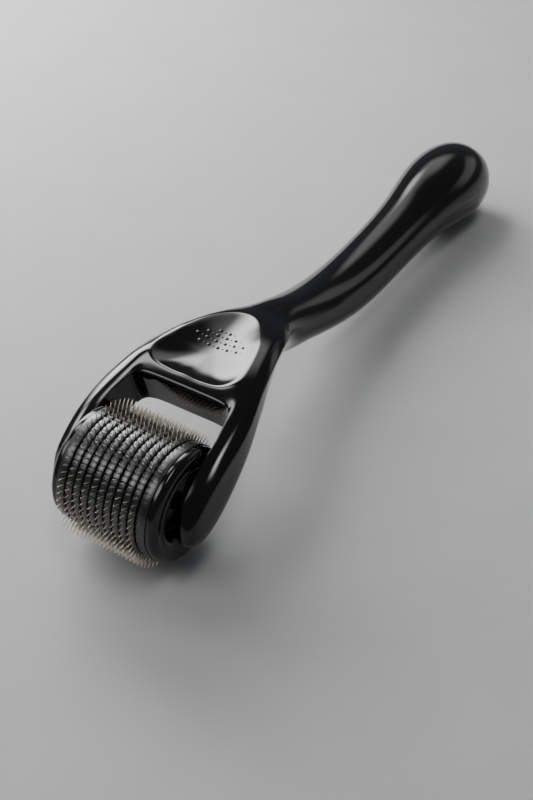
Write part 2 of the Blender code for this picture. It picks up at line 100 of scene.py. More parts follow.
# Fork stations: y, blend to the flat section, half width, underside half width, top z,
# underside z
FORK_STATIONS = (
    (39.0, 0.25, 5.9, 4.7, 9.7, 0.1),
    (35.5, 0.55, 7.1, 4.7, 10.5, 2.4),
    (31.0, 0.85, 8.6, 6.6, 11.3, 3.7),
    (26.0, 1.00, 10.1, 8.7, 11.9, 4.1),
    (21.0, 1.00, 11.6, 10.9, 11.9, 4.0),
    (17.4, 1.00, 12.6, 12.2, 11.65, 3.6),
    (15.3, 1.00, 13.2, 13.0, 11.0, 3.3),
)

# Arm stations: y, inner x, outer x, top z, underside z
ARM_STATIONS = (
    (11.6, 9.9, 14.1, 10.15, 1.5),
    (8.0, 10.75, 14.55, 9.2, -0.5),
    (4.0, 10.95, 14.65, 8.05, -3.2),
    (0.5, 10.95, 14.6, 6.4, -5.0),
    (-2.6, 10.95, 14.5, 4.4, -5.3),
    (-4.9, 11.0, 14.2, 2.2, -3.9),
)

# Sharpness of the control mesh's edges, from 0 to 1
SHOULDER_CREASE = 0.6
ARM_INNER_CREASE = 0.75
ARM_ROOT_CREASE = 0.8
WEB_TOP_CREASE = 0.35
WEB_UNDER_CREASE = 0.6
WEB_SIDE_CREASE = 0.5
SKIN_LEVELS = 4

# Lean of the arm stations: top toward the bulb and underside toward the drum by this much
ARM_LEAN = 0.35

# Arm tip: y, z
ARM_TIP = (-6.3, -1.2)

# Web's front edge at its top, middle and underside: y, z
WEB_TOP = (13.4, 10.3)
WEB_MIDDLE = (13.9, 7.2)
WEB_UNDER = (14.6, 4.0)

# Parting line in the side view: y, z
SEAM_LINE = (
    (-20.0, -1.4),
    (3.5, -1.4),
    (7.0, 0.3),
    (11.0, 2.3),
    (16.0, 4.6),
    (30.0, 5.2),
    (38.0, 4.6),
    (47.0, 2.3),
    (52.5, 0.4),
    (59.0, -1.4),
    (66.5, -2.7),
    (75.0, -3.05),
    (84.0, -2.85),
    (92.0, -2.4),
    (98.5, -2.0),
    (104.5, -2.2),
    (112.0, -3.1),
    (140.0, -3.4),
)

# Half the gap along the parting line; then each step of the rim there: how far it goes
# inward, and how far away from the line
SEAM_HALF_GAP = 0.045
SEAM_RIM = ((0.06, 0.05), (0.9, 0.0))

# Crest round the thumb rest in plan, from the front edge round its right side: x, y
DISH_OUTLINE = (
    (-1.0, 15.7),
    (3.3, 15.6),
    (6.0, 15.8),
    (7.3, 16.9),
    (7.8, 18.9),
    (7.4, 21.6),
    (6.5, 25.0),
    (5.2, 28.3),
    (3.6, 31.4),
    (1.6, 34.0),
    (-0.6, 35.2),
    (-2.8, 34.9),
    (-5.0, 33.0),
    (-7.1, 29.8),
    (-8.7, 26.0),
    (-9.8, 21.6),
    (-9.9, 18.8),
    (-9.1, 16.9),
    (-7.6, 15.9),
    (-5.0, 15.7),
)
DISH_CENTRE = (-1.1, 23.0)
DISH_DEPTH = 2.35
CREST_SOFTNESS = 0.22
FRONT_STEEPNESS = 0.6
FRONT_REACH = 8.5
OUTLINE_BLUR = 14.0

# Crown of the head: height, share of the half width it takes, and the y ranges over which
# it comes in and goes out
CROWN = 0.75
CROWN_SHARE = 0.86
CROWN_RISE = (12.0, 23.0)
CROWN_FALL = (27.0, 39.0)

# Part of the skin that the crown and the thumb rest move: y range, least z, and the
# upward facing over which they come in
TOP_Y = (12.5, 38.0)
TOP_Z = 8.0
TOP_FACING = (0.3, 0.7)

# Grip that is let down onto the floor: where that starts and over what length
SETTLE_START = 66.0
SETTLE_LENGTH = 56.0
FLOOR_GAP = 0.03
REAR_GAP = 0.02

# Grip dots: row y, first dot's x, number of dots. Large and small take turns, and their
# radius shrinks toward the right
DOT_ROWS = (
    (24.8, -4.5, 10),
    (26.15, -5.75, 11),
    (27.5, -4.45, 8),
    (28.75, -2.8, 4),
)
DOT_PITCH = 0.92
DOT_LARGE = 0.40
DOT_SMALL = 0.24
DOT_SHRINK = 0.014
DOT_HEIGHT = 0.6
DOT_SIDES = 14

# Needles: height above the groove and radius, then distance back from the tip and radius
NEEDLE_ROOT = ((-0.15, 0.105), (0.35, 0.10))
NEEDLE_TAPER = ((1.25, 0.095), (0.55, 0.08), (0.12, 0.045))
NEEDLE_SIDES = 7
DISC_HALF = 0.12

# Notches in the bands' rims, one at each needle: half length round the drum, depth over
# half length, and mesh steps from one needle to the next
NOTCH_REACH = 0.17
NOTCH_SHARE = 0.75
NOTCH_STEPS = 12

# Polished moulding: colour of a dust speck, depths of the waviness and of the grain
DUST_COLOR = (0.16, 0.155, 0.15, 1.0)
MOULD_WAVE = 0.00003
MOULD_GRAIN = 0.0000012


# ---------------------------------------------------------------- node helpers

def new_material(name):
    """New material with its node tree and its Principled shader."""
    material = bpy.data.materials.new(name)
    material.use_nodes = True
    tree = material.node_tree
    shader = tree.nodes["Principled BSDF"]
    return material, tree, shader


def object_point(tree):
    """Object coordinates in metres; every piece has its origin on the axle."""
    return tree.nodes.new("ShaderNodeTexCoord").outputs["Object"]


def plug(tree, socket, value):
    """Set an input to a plain number or link it to another node's output."""
    if isinstance(value, (int, float)):
        socket.default_value = value
    else:
        tree.links.new(value, socket)


def math_node(tree, operation, *values):
    """Math node on outputs or plain numbers; gives its output."""
    made = tree.nodes.new("ShaderNodeMath")
    made.operation = operation
    for socket, value in zip(made.inputs, values):
        plug(tree, socket, value)
    return made.outputs["Value"]


def separate(tree, vector):
    """The three parts of a vector."""
    made = tree.nodes.new("ShaderNodeSeparateXYZ")
    tree.links.new(vector, made.inputs["Vector"])
    return made.outputs["X"], made.outputs["Y"], made.outputs["Z"]


def combine(tree, x, y):
    """Vector from two parts, with no third."""
    made = tree.nodes.new("ShaderNodeCombineXYZ")
    plug(tree, made.inputs["X"], x)
    plug(tree, made.inputs["Y"], y)
    return made.outputs["Vector"]


def axle_distance(tree):
    """Distance from the axle in metres."""
    flat = tree.nodes.new("ShaderNodeVectorMath")
    flat.operation = "MULTIPLY"
    flat.inputs[1].default_value = (0.0, 1.0, 1.0)
    tree.links.new(object_point(tree), flat.inputs[0])
    length = tree.nodes.new("ShaderNodeVectorMath")
    length.operation = "LENGTH"
    tree.links.new(flat.outputs["Vector"], length.inputs[0])
    return length.outputs["Value"]


def noise(tree, vector, scale, detail, roughness):
    """Noise on a vector; scale is in waves per metre."""
    made = tree.nodes.new("ShaderNodeTexNoise")
    made.inputs["Scale"].default_value = scale
    made.inputs["Detail"].default_value = detail
    made.inputs["Roughness"].default_value = roughness
    tree.links.new(vector, made.inputs["Vector"])
    return made.outputs["Fac"]


def ramp(tree, value, stops):
    """Colour ramp from a list of (position, grey or colour)."""
    made = tree.nodes.new("ShaderNodeValToRGB")
    elements = made.color_ramp.elements
    while len(elements) < len(stops):
        elements.new(0.5)
    for element, (position, color) in zip(elements, stops):
        element.position = position
        if isinstance(color, float):
            color = (color, color, color)
        element.color = (color[0], color[1], color[2], 1.0)
    tree.links.new(value, made.inputs["Fac"])
    return made.outputs["Color"]


def map_range(tree, value, low, high, out_low, out_high):
    """Clamped linear map."""
    made = tree.nodes.new("ShaderNodeMapRange")
    made.inputs["From Min"].default_value = low
    made.inputs["From Max"].default_value = high
    made.inputs["To Min"].default_value = out_low
    made.inputs["To Max"].default_value = out_high
    tree.links.new(value, made.inputs["Value"])
    return made.outputs["Result"]


def bump(tree, height, distance, below=None):
    """Normal from a height of a distance in metres, on top of another bump if given."""
    made = tree.nodes.new("ShaderNodeBump")
    made.inputs["Distance"].default_value = distance
    made.inputs["Strength"].default_value = 1.0
    tree.links.new(height, made.inputs["Height"])
    if below is not None:
        tree.links.new(below, made.inputs["Normal"])
    return made.outputs["Normal"]


def piano_black(name, tone, smooth, speck=0.5):
    """Polished black moulding: soft mould waviness, faint handling film and dust specks."""
    material, tree, shader = new_material(name)
    point = object_point(tree)
    film = noise(tree, point, 140.0, 5.0, 0.6)
    fine = noise(tree, point, 900.0, 3.0, 0.55)
    dust = tree.nodes.new("ShaderNodeTexVoronoi")
    dust.inputs["Scale"].default_value = 620.0
    tree.links.new(point, dust.inputs["Vector"])
    speck_here = math_node(tree, "LESS_THAN", dust.outputs["Distance"], 0.045)
    rare = map_range(tree, film, 0.52, 0.60, 0.0, speck)
    specks = math_node(tree, "MULTIPLY", speck_here, rare)
    mix = tree.nodes.new("ShaderNodeMix")
    mix.data_type = "RGBA"
    mix.inputs["A"].default_value = (tone, tone, tone * 1.06, 1.0)
    mix.inputs["B"].default_value = DUST_COLOR
    tree.links.new(specks, mix.inputs["Factor"])
    tree.links.new(mix.outputs["Result"], shader.inputs["Base Color"])
    rough = math_node(tree, "ADD", map_range(tree, film, 0.35, 0.70, smooth, smooth + 0.05), specks)
    tree.links.new(rough, shader.inputs["Roughness"])
    wave = bump(tree, noise(tree, point, 95.0, 2.0, 0.4), MOULD_WAVE)
    tree.links.new(bump(tree, fine, MOULD_GRAIN, wave), shader.inputs["Normal"])
    shader.inputs["IOR"].default_value = 1.5
    return material


def dull_cup(material):
    """Take the gloss off the middle of an end cap, where the moulding is unpolished."""
    tree = material.node_tree
    gloss = map_range(tree, axle_distance(tree), 0.0064, 0.0072, 0.10, 0.5)
    tree.links.new(gloss, tree.nodes["Principled BSDF"].inputs["Specular IOR Level"])


def turned_metal(name, dark, light, low_rough, high_rough, depth=0.000012):
    """Metal turned round the X axis: hairlines round the drum, short marks across them."""
    material, tree, shader = new_material(name)
    point = object_point(tree)
    x, y, z = separate(tree, point)
    angle = math_node(tree, "ARCTAN2", z, y)
    # Hairlines are fine along X and long round the drum; scuffs are wider and short
    hair = noise(tree, combine(tree, math_node(tree, "MULTIPLY", x, 9000.0),
                               math_node(tree, "MULTIPLY", angle, 6.0)), 1.0, 4.0, 0.65)
    scuff = noise(tree, combine(tree, math_node(tree, "MULTIPLY", x, 700.0),
                                math_node(tree, "MULTIPLY", angle, 55.0)), 1.0, 5.0, 0.7)
    cloud = noise(tree, point, 260.0, 4.0, 0.6)
    blend = math_node(tree, "MULTIPLY_ADD", hair, 0.55, math_node(tree, "MULTIPLY", scuff, 0.45))
    tree.links.new(ramp(tree, blend, ((0.32, dark), (0.66, light))), shader.inputs["Base Color"])
    tree.links.new(map_range(tree, cloud, 0.35, 0.65, low_rough, high_rough),
                   shader.inputs["Roughness"])
    lines = bump(tree, hair, depth)
    tree.links.new(bump(tree, scuff, depth * 0.6, lines), shader.inputs["Normal"])
    shader.inputs["Metallic"].default_value = 1.0
    return material


def needle_metal(name):
    """Pale champagne titanium, with painted shade: darker toward the roots, down in the grooves
    between the discs.
    """
    material, tree, shader = new_material(name)
    # Painted shade: the tone runs from near black at the needle roots to the pale metal colour at
    # the tips, with random grain mixed in
    height = map_range(tree, axle_distance(tree), 0.0103, 0.0115, 0.0, 0.85)
    grain = noise(tree, object_point(tree), 2600.0, 3.0, 0.6)
    tone = ramp(tree, math_node(tree, "MULTIPLY_ADD", grain, 0.30, height), (
        (0.10, (0.06, 0.053, 0.045)),
        (0.50, (0.40, 0.36, 0.30)),
        (0.80, (0.88, 0.79, 0.65)),
        (1.00, (0.98, 0.90, 0.76)),
    ))
    tree.links.new(tone, shader.inputs["Base Color"])
    tree.links.new(map_range(tree, grain, 0.3, 0.7, 0.26, 0.40), shader.inputs["Roughness"])
    shader.inputs["Metallic"].default_value = 0.72
    return material


def moulded(name, color, roughness):
    """Plain engineering plastic with a fine spark-eroded grain."""
    material, tree, shader = new_material(name)
    point = object_point(tree)
    grain = noise(tree, point, 1800.0, 4.0, 0.6)
    cloud = noise(tree, point, 220.0, 3.0, 0.5)
    dark = tuple(c * 0.82 for c in color)
    tree.links.new(ramp(tree, cloud, ((0.35, dark), (0.65, color))), shader.inputs["Base Color"])
    rough = map_range(tree, grain, 0.3, 0.7, roughness - 0.06, roughness + 0.06)
    tree.links.new(rough, shader.inputs["Roughness"])
    tree.links.new(bump(tree, grain, 0.00001), shader.inputs["Normal"])
    return material


# ---------------------------------------------------------------- mesh helpers

def place(name, bm, material, body, smooth_angle=40.0):
    """Write a bmesh built in millimetres round the axle as a piece of the roller."""
    bmesh.ops.transform(bm, matrix=Matrix.Translation(AXLE) @ Matrix.Scale(MM, 4),
                        verts=bm.verts[:])
    mesh = bpy.data.meshes.new(name)
    bm.to_mesh(mesh)
    bm.free()
    return attach(name, mesh, material, body, smooth_angle)


def attach(name, mesh, material, body, smooth_angle=40.0):
    """Link a mesh as a piece that rides on a body; its origin goes to the axle."""
    mesh.transform(Matrix.Translation(-AXLE))
    mesh.materials.clear()
    mesh.materials.append(material)
    mesh.shade_smooth()
    mesh.set_sharp_from_angle(angle=math.radians(smooth_angle))
    obj = bpy.data.objects.new(name, mesh)
    bpy.context.scene.collection.objects.link(obj)
    obj.location = AXLE
    bpy.context.view_layer.update()
    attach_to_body(obj, body)
    return obj


def close_rings(bm, rings):
    """Faces between each ring and the next, and back to the first."""
    for a, b in zip(rings, rings[1:] + rings[:1]):
        for j in range(len(a)):
            n = (j + 1) % len(a)
            bm.faces.new((a[j], a[n], b[n], b[j]))
    bmesh.ops.recalc_face_normals(bm, faces=bm.faces[:])
    return bm


def turned(profile, sides):
    """Closed ring turned about X from a loop of (x, radius) points."""
    bm = bmesh.new()
    rings = []
    for k in range(sides):
        angle = 2.0 * math.pi * k / sides
        rings.append([bm.verts.new((x, r * math.cos(angle), r * math.sin(angle)))
                      for x, r in profile])
    return close_rings(bm, rings)


def rounded(points, steps=5):
    """Round the corners of a profile loop: points are (x, r, corner radius)."""
    out = []
    count = len(points)
    for k, (x, r, radius) in enumerate(points):
        here = Vector((x, r))
        if radius <= 0.0:
            out.append((x, r))
            continue
        before = Vector(points[k - 1][:2]) - here
        after = Vector(points[(k + 1) % count][:2]) - here
        a = here + before.normalized() * min(radius, before.length * 0.49)
        b = here + after.normalized() * min(radius, after.length * 0.49)
        for s in range(steps + 1):
            t = s / steps
            p = a * (1 - t) ** 2 + here * 2 * t * (1 - t) + b * t ** 2
            out.append((p.x, p.y))
    return out


# ---------------------------------------------------------------- handle surface

def tube_ring(y, centre_z, half_width, half_height):
    """Eighteen points round a grip section, from the left shoulder over the top."""
    points = []
    for k in range(18):
        angle = math.radians(160.0 - 20.0 * k)
        points.append((half_width * math.cos(angle), y,
                       centre_z + half_height * math.sin(angle)))
    return points


def flat_ring(y, half_width, under_width, top, underside):
    """Eighteen points round a fork section, in the same order as tube_ring."""
    side = (half_width + WEB_INNER_X * min(1.0, half_width / 13.0)) / 2.0
    inner = 2.0 * side - half_width
    narrow = under_width / half_width
    middle = (top + underside) / 2.0
    row = (
        (-half_width, top - 1.1),
        (-side, top),
        (-inner, top),
        (-0.36 * inner, top),
        (0.36 * inner, top),
        (inner, top),
        (side, top),
        (half_width, top - 1.1),
        ((half_width + under_width) / 2.0, middle),
        (under_width, underside + 0.9),
        (narrow * side, underside),
        (narrow * inner, underside),
        (0.36 * inner, underside),
        (-0.36 * inner, underside),
        (-narrow * inner, underside),
        (-narrow * side, underside),
        (-under_width, underside + 0.9),
        (-(half_width + under_width) / 2.0, middle),
    )
    return [(x, y, z) for x, z in row]


def handle_cage():
    """Control mesh of the whole handle: bulb, grip, neck, head, web and two arms."""
    bm = bmesh.new()
    crease = bm.edges.layers.float.new("crease_edge")
    rings = [tube_ring(*station) for station in TUBE_STATIONS]
    for y, blend, width, under_width, top, underside in FORK_STATIONS:
        middle = (top + underside) / 2.0
        round_part = tube_ring(y, middle, width, (top - underside) / 2.0)
        for k in range(9, 17):
            x, _, z = round_part[k]
            round_part[k] = (x * under_width / width, y, z)
        flat_part = flat_ring(y, width, under_width, top, underside)
        rings.append([tuple(p + (q - p) * blend for p, q in zip(a, b))
                      for a, b in zip(round_part, flat_part)])
    loops = [[bm.verts.new(p) for p in ring] for ring in rings]
    for a, b in zip(loops, loops[1:]):
        for k in range(18):
            n = (k + 1) % 18
            bm.faces.new((a[k], a[n], b[n], b[k]))

    # Bulb end
    rear = loops[0]
    rear_y = HANDLE_REAR + 0.35
    row_top = rear[0:8]
    row_bottom = [rear[16 - k] for k in range(8)]
    row_middle = [rear[17]]
    for k in range(1, 7):
        x = 0.5 * (row_top[k].co.x + row_bottom[k].co.x)
        depth = 1.0 - (x / 6.2) ** 2
        z = 0.5 * (row_top[k].co.z + row_bottom[k].co.z)
        row_middle.append(bm.verts.new((x, rear[0].co.y + (rear_y - rear[0].co.y) * depth, z)))
    row_middle.append(rear[8])
    for k in range(7):
        bm.faces.new((row_top[k], row_top[k + 1], row_middle[k + 1], row_middle[k]))
        bm.faces.new((row_middle[k], row_middle[k + 1], row_bottom[k + 1], row_bottom[k]))

    # Web
    front = loops[-1]
    lip_top = []
    lip_bottom = []
    for k in range(2, 6):
        x = front[k].co.x
        lip_top.append(bm.verts.new((x, *WEB_TOP)))
        lip_bottom.append(bm.verts.new((x, *WEB_UNDER)))
    lip_middle = [bm.verts.new((a.co.x, *WEB_MIDDLE)) for a in lip_top]
    top_back = front[2:6]
    bottom_back = [front[14 - k] for k in range(4)]
    for k in range(3):
        bm.faces.new((top_back[k], top_back[k + 1], lip_top[k + 1], lip_top[k]))
        bm.faces.new((lip_top[k], lip_top[k + 1], lip_middle[k + 1], lip_middle[k]))
        bm.faces.new((lip_middle[k], lip_middle[k + 1], lip_bottom[k + 1], lip_bottom[k]))
        bm.faces.new((lip_bottom[k], lip_bottom[k + 1], bottom_back[k + 1], bottom_back[k]))

    # Arms
    sharp = []
    for a, b in zip(lip_top, lip_top[1:]):
        sharp.append((a, b, WEB_TOP_CREASE))
    for a, b in zip(lip_bottom, lip_bottom[1:]):
        sharp.append((a, b, WEB_UNDER_CREASE))
    for sign in (-1, 1):
        if sign < 0:
            root = (front[2], front[1], front[0], front[17], front[16], front[15], front[14])
            web = (lip_top[0], lip_middle[0], lip_bottom[0])
        else:
            root = (front[5], front[6], front[7], front[8], front[9], front[10], front[11])
            web = (lip_top[3], lip_middle[3], lip_bottom[3])
        previous = None
        for y, inner, outer, top, underside in ARM_STATIONS:
            side = (inner + outer) / 2.0
            middle = (top + underside) / 2.0
            points = (
                (inner, y, top - 0.05),
                (side, y + ARM_LEAN, top),
                (outer, y + ARM_LEAN, top - 1.2),
                (outer, y, middle),
                (outer, y - ARM_LEAN, underside + 1.2),
                (side, y - ARM_LEAN, underside),
                (inner, y - ARM_LEAN, underside + 0.8),
                (inner, y, middle),
            )
            loop = [bm.verts.new((sign * x, py, z)) for x, py, z in points]
            if previous is None:
                for k in range(6):
                    bm.faces.new((root[k], root[k + 1], loop[k + 1], loop[k]))
                bm.faces.new((root[0], loop[0], web[0]))
                bm.faces.new((web[0], loop[0], loop[7], web[1]))
                bm.faces.new((web[1], loop[7], loop[6], web[2]))
                bm.faces.new((web[2], loop[6], root[6]))
                sharp.append((web[0], loop[0], ARM_ROOT_CREASE))
                sharp.append((web[2], loop[6], WEB_SIDE_CREASE))
                sharp.append((root[2], loop[2], SHOULDER_CREASE))
            else:
                for k in range(8):
                    n = (k + 1) % 8
                    bm.faces.new((previous[k], previous[n], loop[n], loop[k]))
                sharp.append((previous[0], loop[0], ARM_INNER_CREASE))
                sharp.append((previous[2], loop[2], SHOULDER_CREASE))
            previous = loop
        tip = bm.verts.new((sign * (ARM_INNER_X + ARM_OUTER_X) / 2.0, *ARM_TIP))
        for k in range(0, 8, 2):
            bm.faces.new((previous[k], previous[(k + 1) % 8], previous[(k + 2) % 8], tip))
    for column in (0, 7):
        for a, b in zip(loops[9:], loops[10:]):
            sharp.append((a[column], b[column], SHOULDER_CREASE))
    for a, b, weight in sharp:
        edge = bm.edges.get((a, b))
        if edge is not None:
            edge[crease] = weight
    bmesh.ops.recalc_face_normals(bm, faces=bm.faces[:])
    return bm


def crest_reach(points):
    """How far each plan point lies from the rest's centre: 1 on the crest, 0 in the middle."""
    loop = np.array(DISH_OUTLINE) - np.array(DISH_CENTRE)
    angle = np.arctan2(loop[:, 1], loop[:, 0])
    order = np.argsort(angle)
    turn = 2.0 * math.pi
    steps = 720
    dense = -math.pi + turn * np.arange(steps) / steps
    radius = np.interp(dense, angle[order], np.hypot(*loop[order].T), period=turn)
    width = int(steps * OUTLINE_BLUR / 360.0)
    kernel = np.hanning(2 * width + 1)
    kernel /= kernel.sum()
    padded = np.concatenate((radius[-width:], radius, radius[:width]))
    for _ in range(2):
        radius = np.convolve(padded, kernel, "valid")
        padded = np.concatenate((radius[-width:], radius, radius[:width]))
    offset = points - np.array(DISH_CENTRE)
    at = np.arctan2(offset[:, 1], offset[:, 0])
    return np.hypot(offset[:, 0], offset[:, 1]) / np.interp(at, dense, radius, period=turn)


def smooth_step(value, low, high):
    """Smooth change from 0 at low to 1 at high."""
    t = np.clip((value - low) / (high - low), 0.0, 1.0)
    return t * t * (3.0 - 2.0 * t)


def dish_press(points):
    """Depth of the thumb rest below the head's top at plan points."""
    toward_front = smooth_step(DISH_CENTRE[1] - points[:, 1], 0.0, FRONT_REACH)
    bowl = DISH_DEPTH * (1.0 - crest_reach(points) ** (2.0 + FRONT_STEEPNESS * toward_front))
    return 0.5 * (bowl + np.sqrt(bowl * bowl + CREST_SOFTNESS ** 2))


def seam_height(y):
    """Height of the parting line at stations along the handle."""
    line = np.array(SEAM_LINE)
    return np.interp(y, line[:, 0], line[:, 1])


def handle_surface():
    """Whole outer skin, subdivided and with the thumb rest pressed in, in millimetres."""
    bm = handle_cage()
    mesh = bpy.data.meshes.new("handle_skin")
    bm.to_mesh(mesh)
    bm.free()
    obj = bpy.data.objects.new("handle_skin", mesh)
    bpy.context.scene.collection.objects.link(obj)
    modifier = obj.modifiers.new("surface", "SUBSURF")
    modifier.levels = SKIN_LEVELS
    modifier.render_levels = SKIN_LEVELS
    depsgraph = bpy.context.evaluated_depsgraph_get()
    fine = bpy.data.meshes.new_from_object(obj.evaluated_get(depsgraph))
    bpy.data.objects.remove(obj, do_unlink=True)

    count = len(fine.vertices)
    co = np.empty(count * 3)
    fine.vertices.foreach_get("co", co)
    co = co.reshape(-1, 3)
    normal = np.empty(count * 3)
    fine.vertices.foreach_get("normal", normal)
    normal = normal.reshape(-1, 3)
    facing, fully_facing = TOP_FACING
    on_top = ((co[:, 1] > TOP_Y[0]) & (co[:, 1] < TOP_Y[1]) & (co[:, 2] > TOP_Z)
              & (normal[:, 2] > facing))
    picked = np.where(on_top)[0]
    fade = np.clip((normal[picked, 2] - facing) / (fully_facing - facing), 0.0, 1.0)
    stations = np.array(FORK_STATIONS)[::-1]
    reach = CROWN_SHARE * np.interp(co[picked, 1], stations[:, 0], stations[:, 2])
    crown = CROWN * np.clip(1.0 - (co[picked, 0] / reach) ** 2, 0.0, 1.0)
    crown *= smooth_step(co[picked, 1], *CROWN_RISE)
    crown *= 1.0 - smooth_step(co[picked, 1], *CROWN_FALL)
    co[picked, 2] += (crown - dish_press(co[picked, :2])) * fade
    low = co[co[:, 1] > 80.0, 2].min()
    far = co[:, 1].max()
    amount = np.clip((co[:, 1] - SETTLE_START) / SETTLE_LENGTH, 0.0, 1.0)
    co[:, 2] += (-AXLE[2] / MM + FLOOR_GAP - low) * amount
    co[:, 1] += (HANDLE_REAR - REAR_GAP - far) * amount
    fine.vertices.foreach_set("co", co.ravel())
    fine.update()
    return fine


def split_shell(skin, name, upper, material):
    """One half of the skin, cut along the parting line, with a rim turned inward."""
    bm = bmesh.new()
    bm.from_mesh(skin)
    offset = SEAM_HALF_GAP if upper else -SEAM_HALF_GAP
    for vert in bm.verts:
        vert.co.z -= float(seam_height(vert.co.y)) + offset
    bmesh.ops.bisect_plane(bm, geom=bm.verts[:] + bm.edges[:] + bm.faces[:], dist=1e-5,
                           plane_co=(0, 0, 0), plane_no=(0, 0, 1),
                           clear_inner=upper, clear_outer=not upper)
    for vert in bm.verts:
        vert.co.z += float(seam_height(vert.co.y)) + offset
    bm.normal_update()
    rim = [e for e in bm.edges if e.is_boundary]
    for depth, drop in SEAM_RIM:
        made = bmesh.ops.extrude_edge_only(bm, edges=rim)
        verts = [g for g in made["geom"] if isinstance(g, bmesh.types.BMVert)]
        fresh = set(verts)
        rim = [g for g in made["geom"] if isinstance(g, bmesh.types.BMEdge)
               and all(v in fresh for v in g.verts)]
        moves = {}
        for vert in verts:
            source = None
            for edge in vert.link_edges:
                other = edge.other_vert(vert)
                if other not in fresh:
                    source = other
            out = Vector((0.0, 0.0, 0.0))
            if source is not None:
                out = source.normal.copy()
                out.z *= 0.2
            if out.length > 1e-6:
                out.normalize()
            moves[vert] = out
        for vert, out in moves.items():
            vert.co -= out * depth
            vert.co.z += (-drop if upper else drop)
    bmesh.ops.recalc_face_normals(bm, faces=bm.faces[:])
    return place(name, bm, material, "handle", 60.0)


# ---------------------------------------------------------------- drum pieces

def notch_depth(angle):
    """How deep a band's rim is cut at an angle: a small round notch at every needle."""
    step = 2.0 * math.pi / NEEDLES
    offset = (angle + math.pi / 2.0) % step
    offset = min(offset, step - offset) * DRUM_RADIUS
    if offset >= NOTCH_REACH:
        return 0.0
    return NOTCH_SHARE * math.sqrt(NOTCH_REACH ** 2 - offset ** 2)


def notched_ring(left, right, notch_left, notch_right):
    """Turned ring whose rim is notched where the needles of the next disc pass."""
    bm = bmesh.new()
    outer = DRUM_RADIUS - 0.005
    inner = CORE_RADIUS
    sides = NEEDLES * NOTCH_STEPS
    rings = []
    for k in range(sides):
        angle = -math.pi / 2.0 + 2.0 * math.pi * k / sides
        c = math.cos(angle)
        s = math.sin(angle)
        cut = notch_depth(angle)
        x0 = left + (cut if notch_left else 0.0)
        x1 = right - (cut if notch_right else 0.0)
        profile = (
            (left, inner),
            (x0, outer - 0.42),
            (x0, outer - 0.07),
            (x0 + 0.02, outer - 0.02),
            (x0 + 0.07, outer),
            (x1 - 0.07, outer),
            (x1 - 0.02, outer - 0.02),
            (x1, outer - 0.07),
            (x1, outer - 0.42),
            (right, inner),
        )
        rings.append([bm.verts.new((x, r * c, r * s)) for x, r in profile])
    return close_rings(bm, rings)


def add_needle(bm, x, angle):
    """Round tapered needle standing radially at an angle."""
    out = Vector((0.0, math.cos(angle), math.sin(angle)))
    side = Vector((0.0, -math.sin(angle), math.cos(angle)))
    axis = Vector((1.0, 0.0, 0.0))
    stations = [(GROOVE_RADIUS + rise, thick) for rise, thick in NEEDLE_ROOT]
    stations += [(NEEDLE_TIP - back, thick) for back, thick in NEEDLE_TAPER]
    rings = []
    for radius, thick in stations:
        ring = []
        for k in range(NEEDLE_SIDES):
            a = 2.0 * math.pi * k / NEEDLE_SIDES
            p = out * radius + axis * (x + thick * math.cos(a)) + side * (thick * math.sin(a))
            ring.append(bm.verts.new(p))
        rings.append(ring)
    for a, b in zip(rings, rings[1:]):
        for k in range(NEEDLE_SIDES):
            n = (k + 1) % NEEDLE_SIDES
            bm.faces.new((a[k], a[n], b[n], b[k]))
    point = bm.verts.new(out * NEEDLE_TIP + axis * x)
    for k in range(NEEDLE_SIDES):
        bm.faces.new((rings[-1][k], rings[-1][(k + 1) % NEEDLE_SIDES], point))
    bm.faces.new(list(reversed(rings[0])))


def needle_disc(x):
    """One disc with its ring and sixty needles."""
    profile = rounded((
        (x - DISC_HALF, CORE_RADIUS, 0.0),
        (x - DISC_HALF, GROOVE_RADIUS, 0.05),
        (x + DISC_HALF, GROOVE_RADIUS, 0.05),
        (x + DISC_HALF, CORE_RADIUS, 0.0),
    ), 2)
    bm = turned(profile, 120)
    for k in range(NEEDLES):
        angle = -math.pi / 2.0 + 2.0 * math.pi * k / NEEDLES
        add_needle(bm, x, angle)
    bmesh.ops.recalc_face_normals(bm, faces=bm.faces[:])
    return bm


def end_cap(sign):
    """Glossy cap: rolled rim, shallow dished face, rolled inner lip and a deep cup."""
    face = FLANGE_OUTER_X + 0.05
    points = (
        (7.05, 1.6, 0.0),
        (7.05, 6.0, 0.1),
        (face, 6.0, 0.05),
        (face, 9.87, 0.10),
        (face + 0.95, 9.87, 0.75),
        (CAP_OUTER_X, 8.75, 0.55),
        (CAP_OUTER_X - 0.32, 7.75, 0.35),
        (CAP_OUTER_X - 0.02, 7.20, 0.30),
        (CAP_OUTER_X - 0.25, 6.60, 0.35),
        (CAP_OUTER_X - 1.30, 5.70, 0.40),
        (7.45, 5.35, 0.30),
        (7.45, 1.6, 0.0),
    )
    profile = [(sign * x, r) for x, r in rounded(points, 7)]
    return turned(profile, 160)


# ---------------------------------------------------------------- materials

shell_black = piano_black("shell_piano_black", 0.0028, 0.06)
lower_black = piano_black("shell_piano_black_under", 0.0030, 0.07)
cap_black = piano_black("cap_gloss_black", 0.0035, 0.11, 0.3)
dull_cup(cap_black)
band_metal = turned_metal("band_brushed_graphite", 0.036, 0.16, 0.20, 0.32)
flange_metal = turned_metal("flange_satin_graphite", 0.05, 0.12, 0.24, 0.34, 0.000006)
needle_titanium = needle_metal("needle_titanium")
core_plastic = moulded("core_black_moulding", (0.022, 0.022, 0.023), 0.5)
bushing_plastic = moulded("bushing_black_acetal", (0.035, 0.034, 0.033), 0.42)
pin_steel = turned_metal("pin_polished_steel", 0.45, 0.66, 0.12, 0.22, 0.000004)


# ---------------------------------------------------------------- pieces

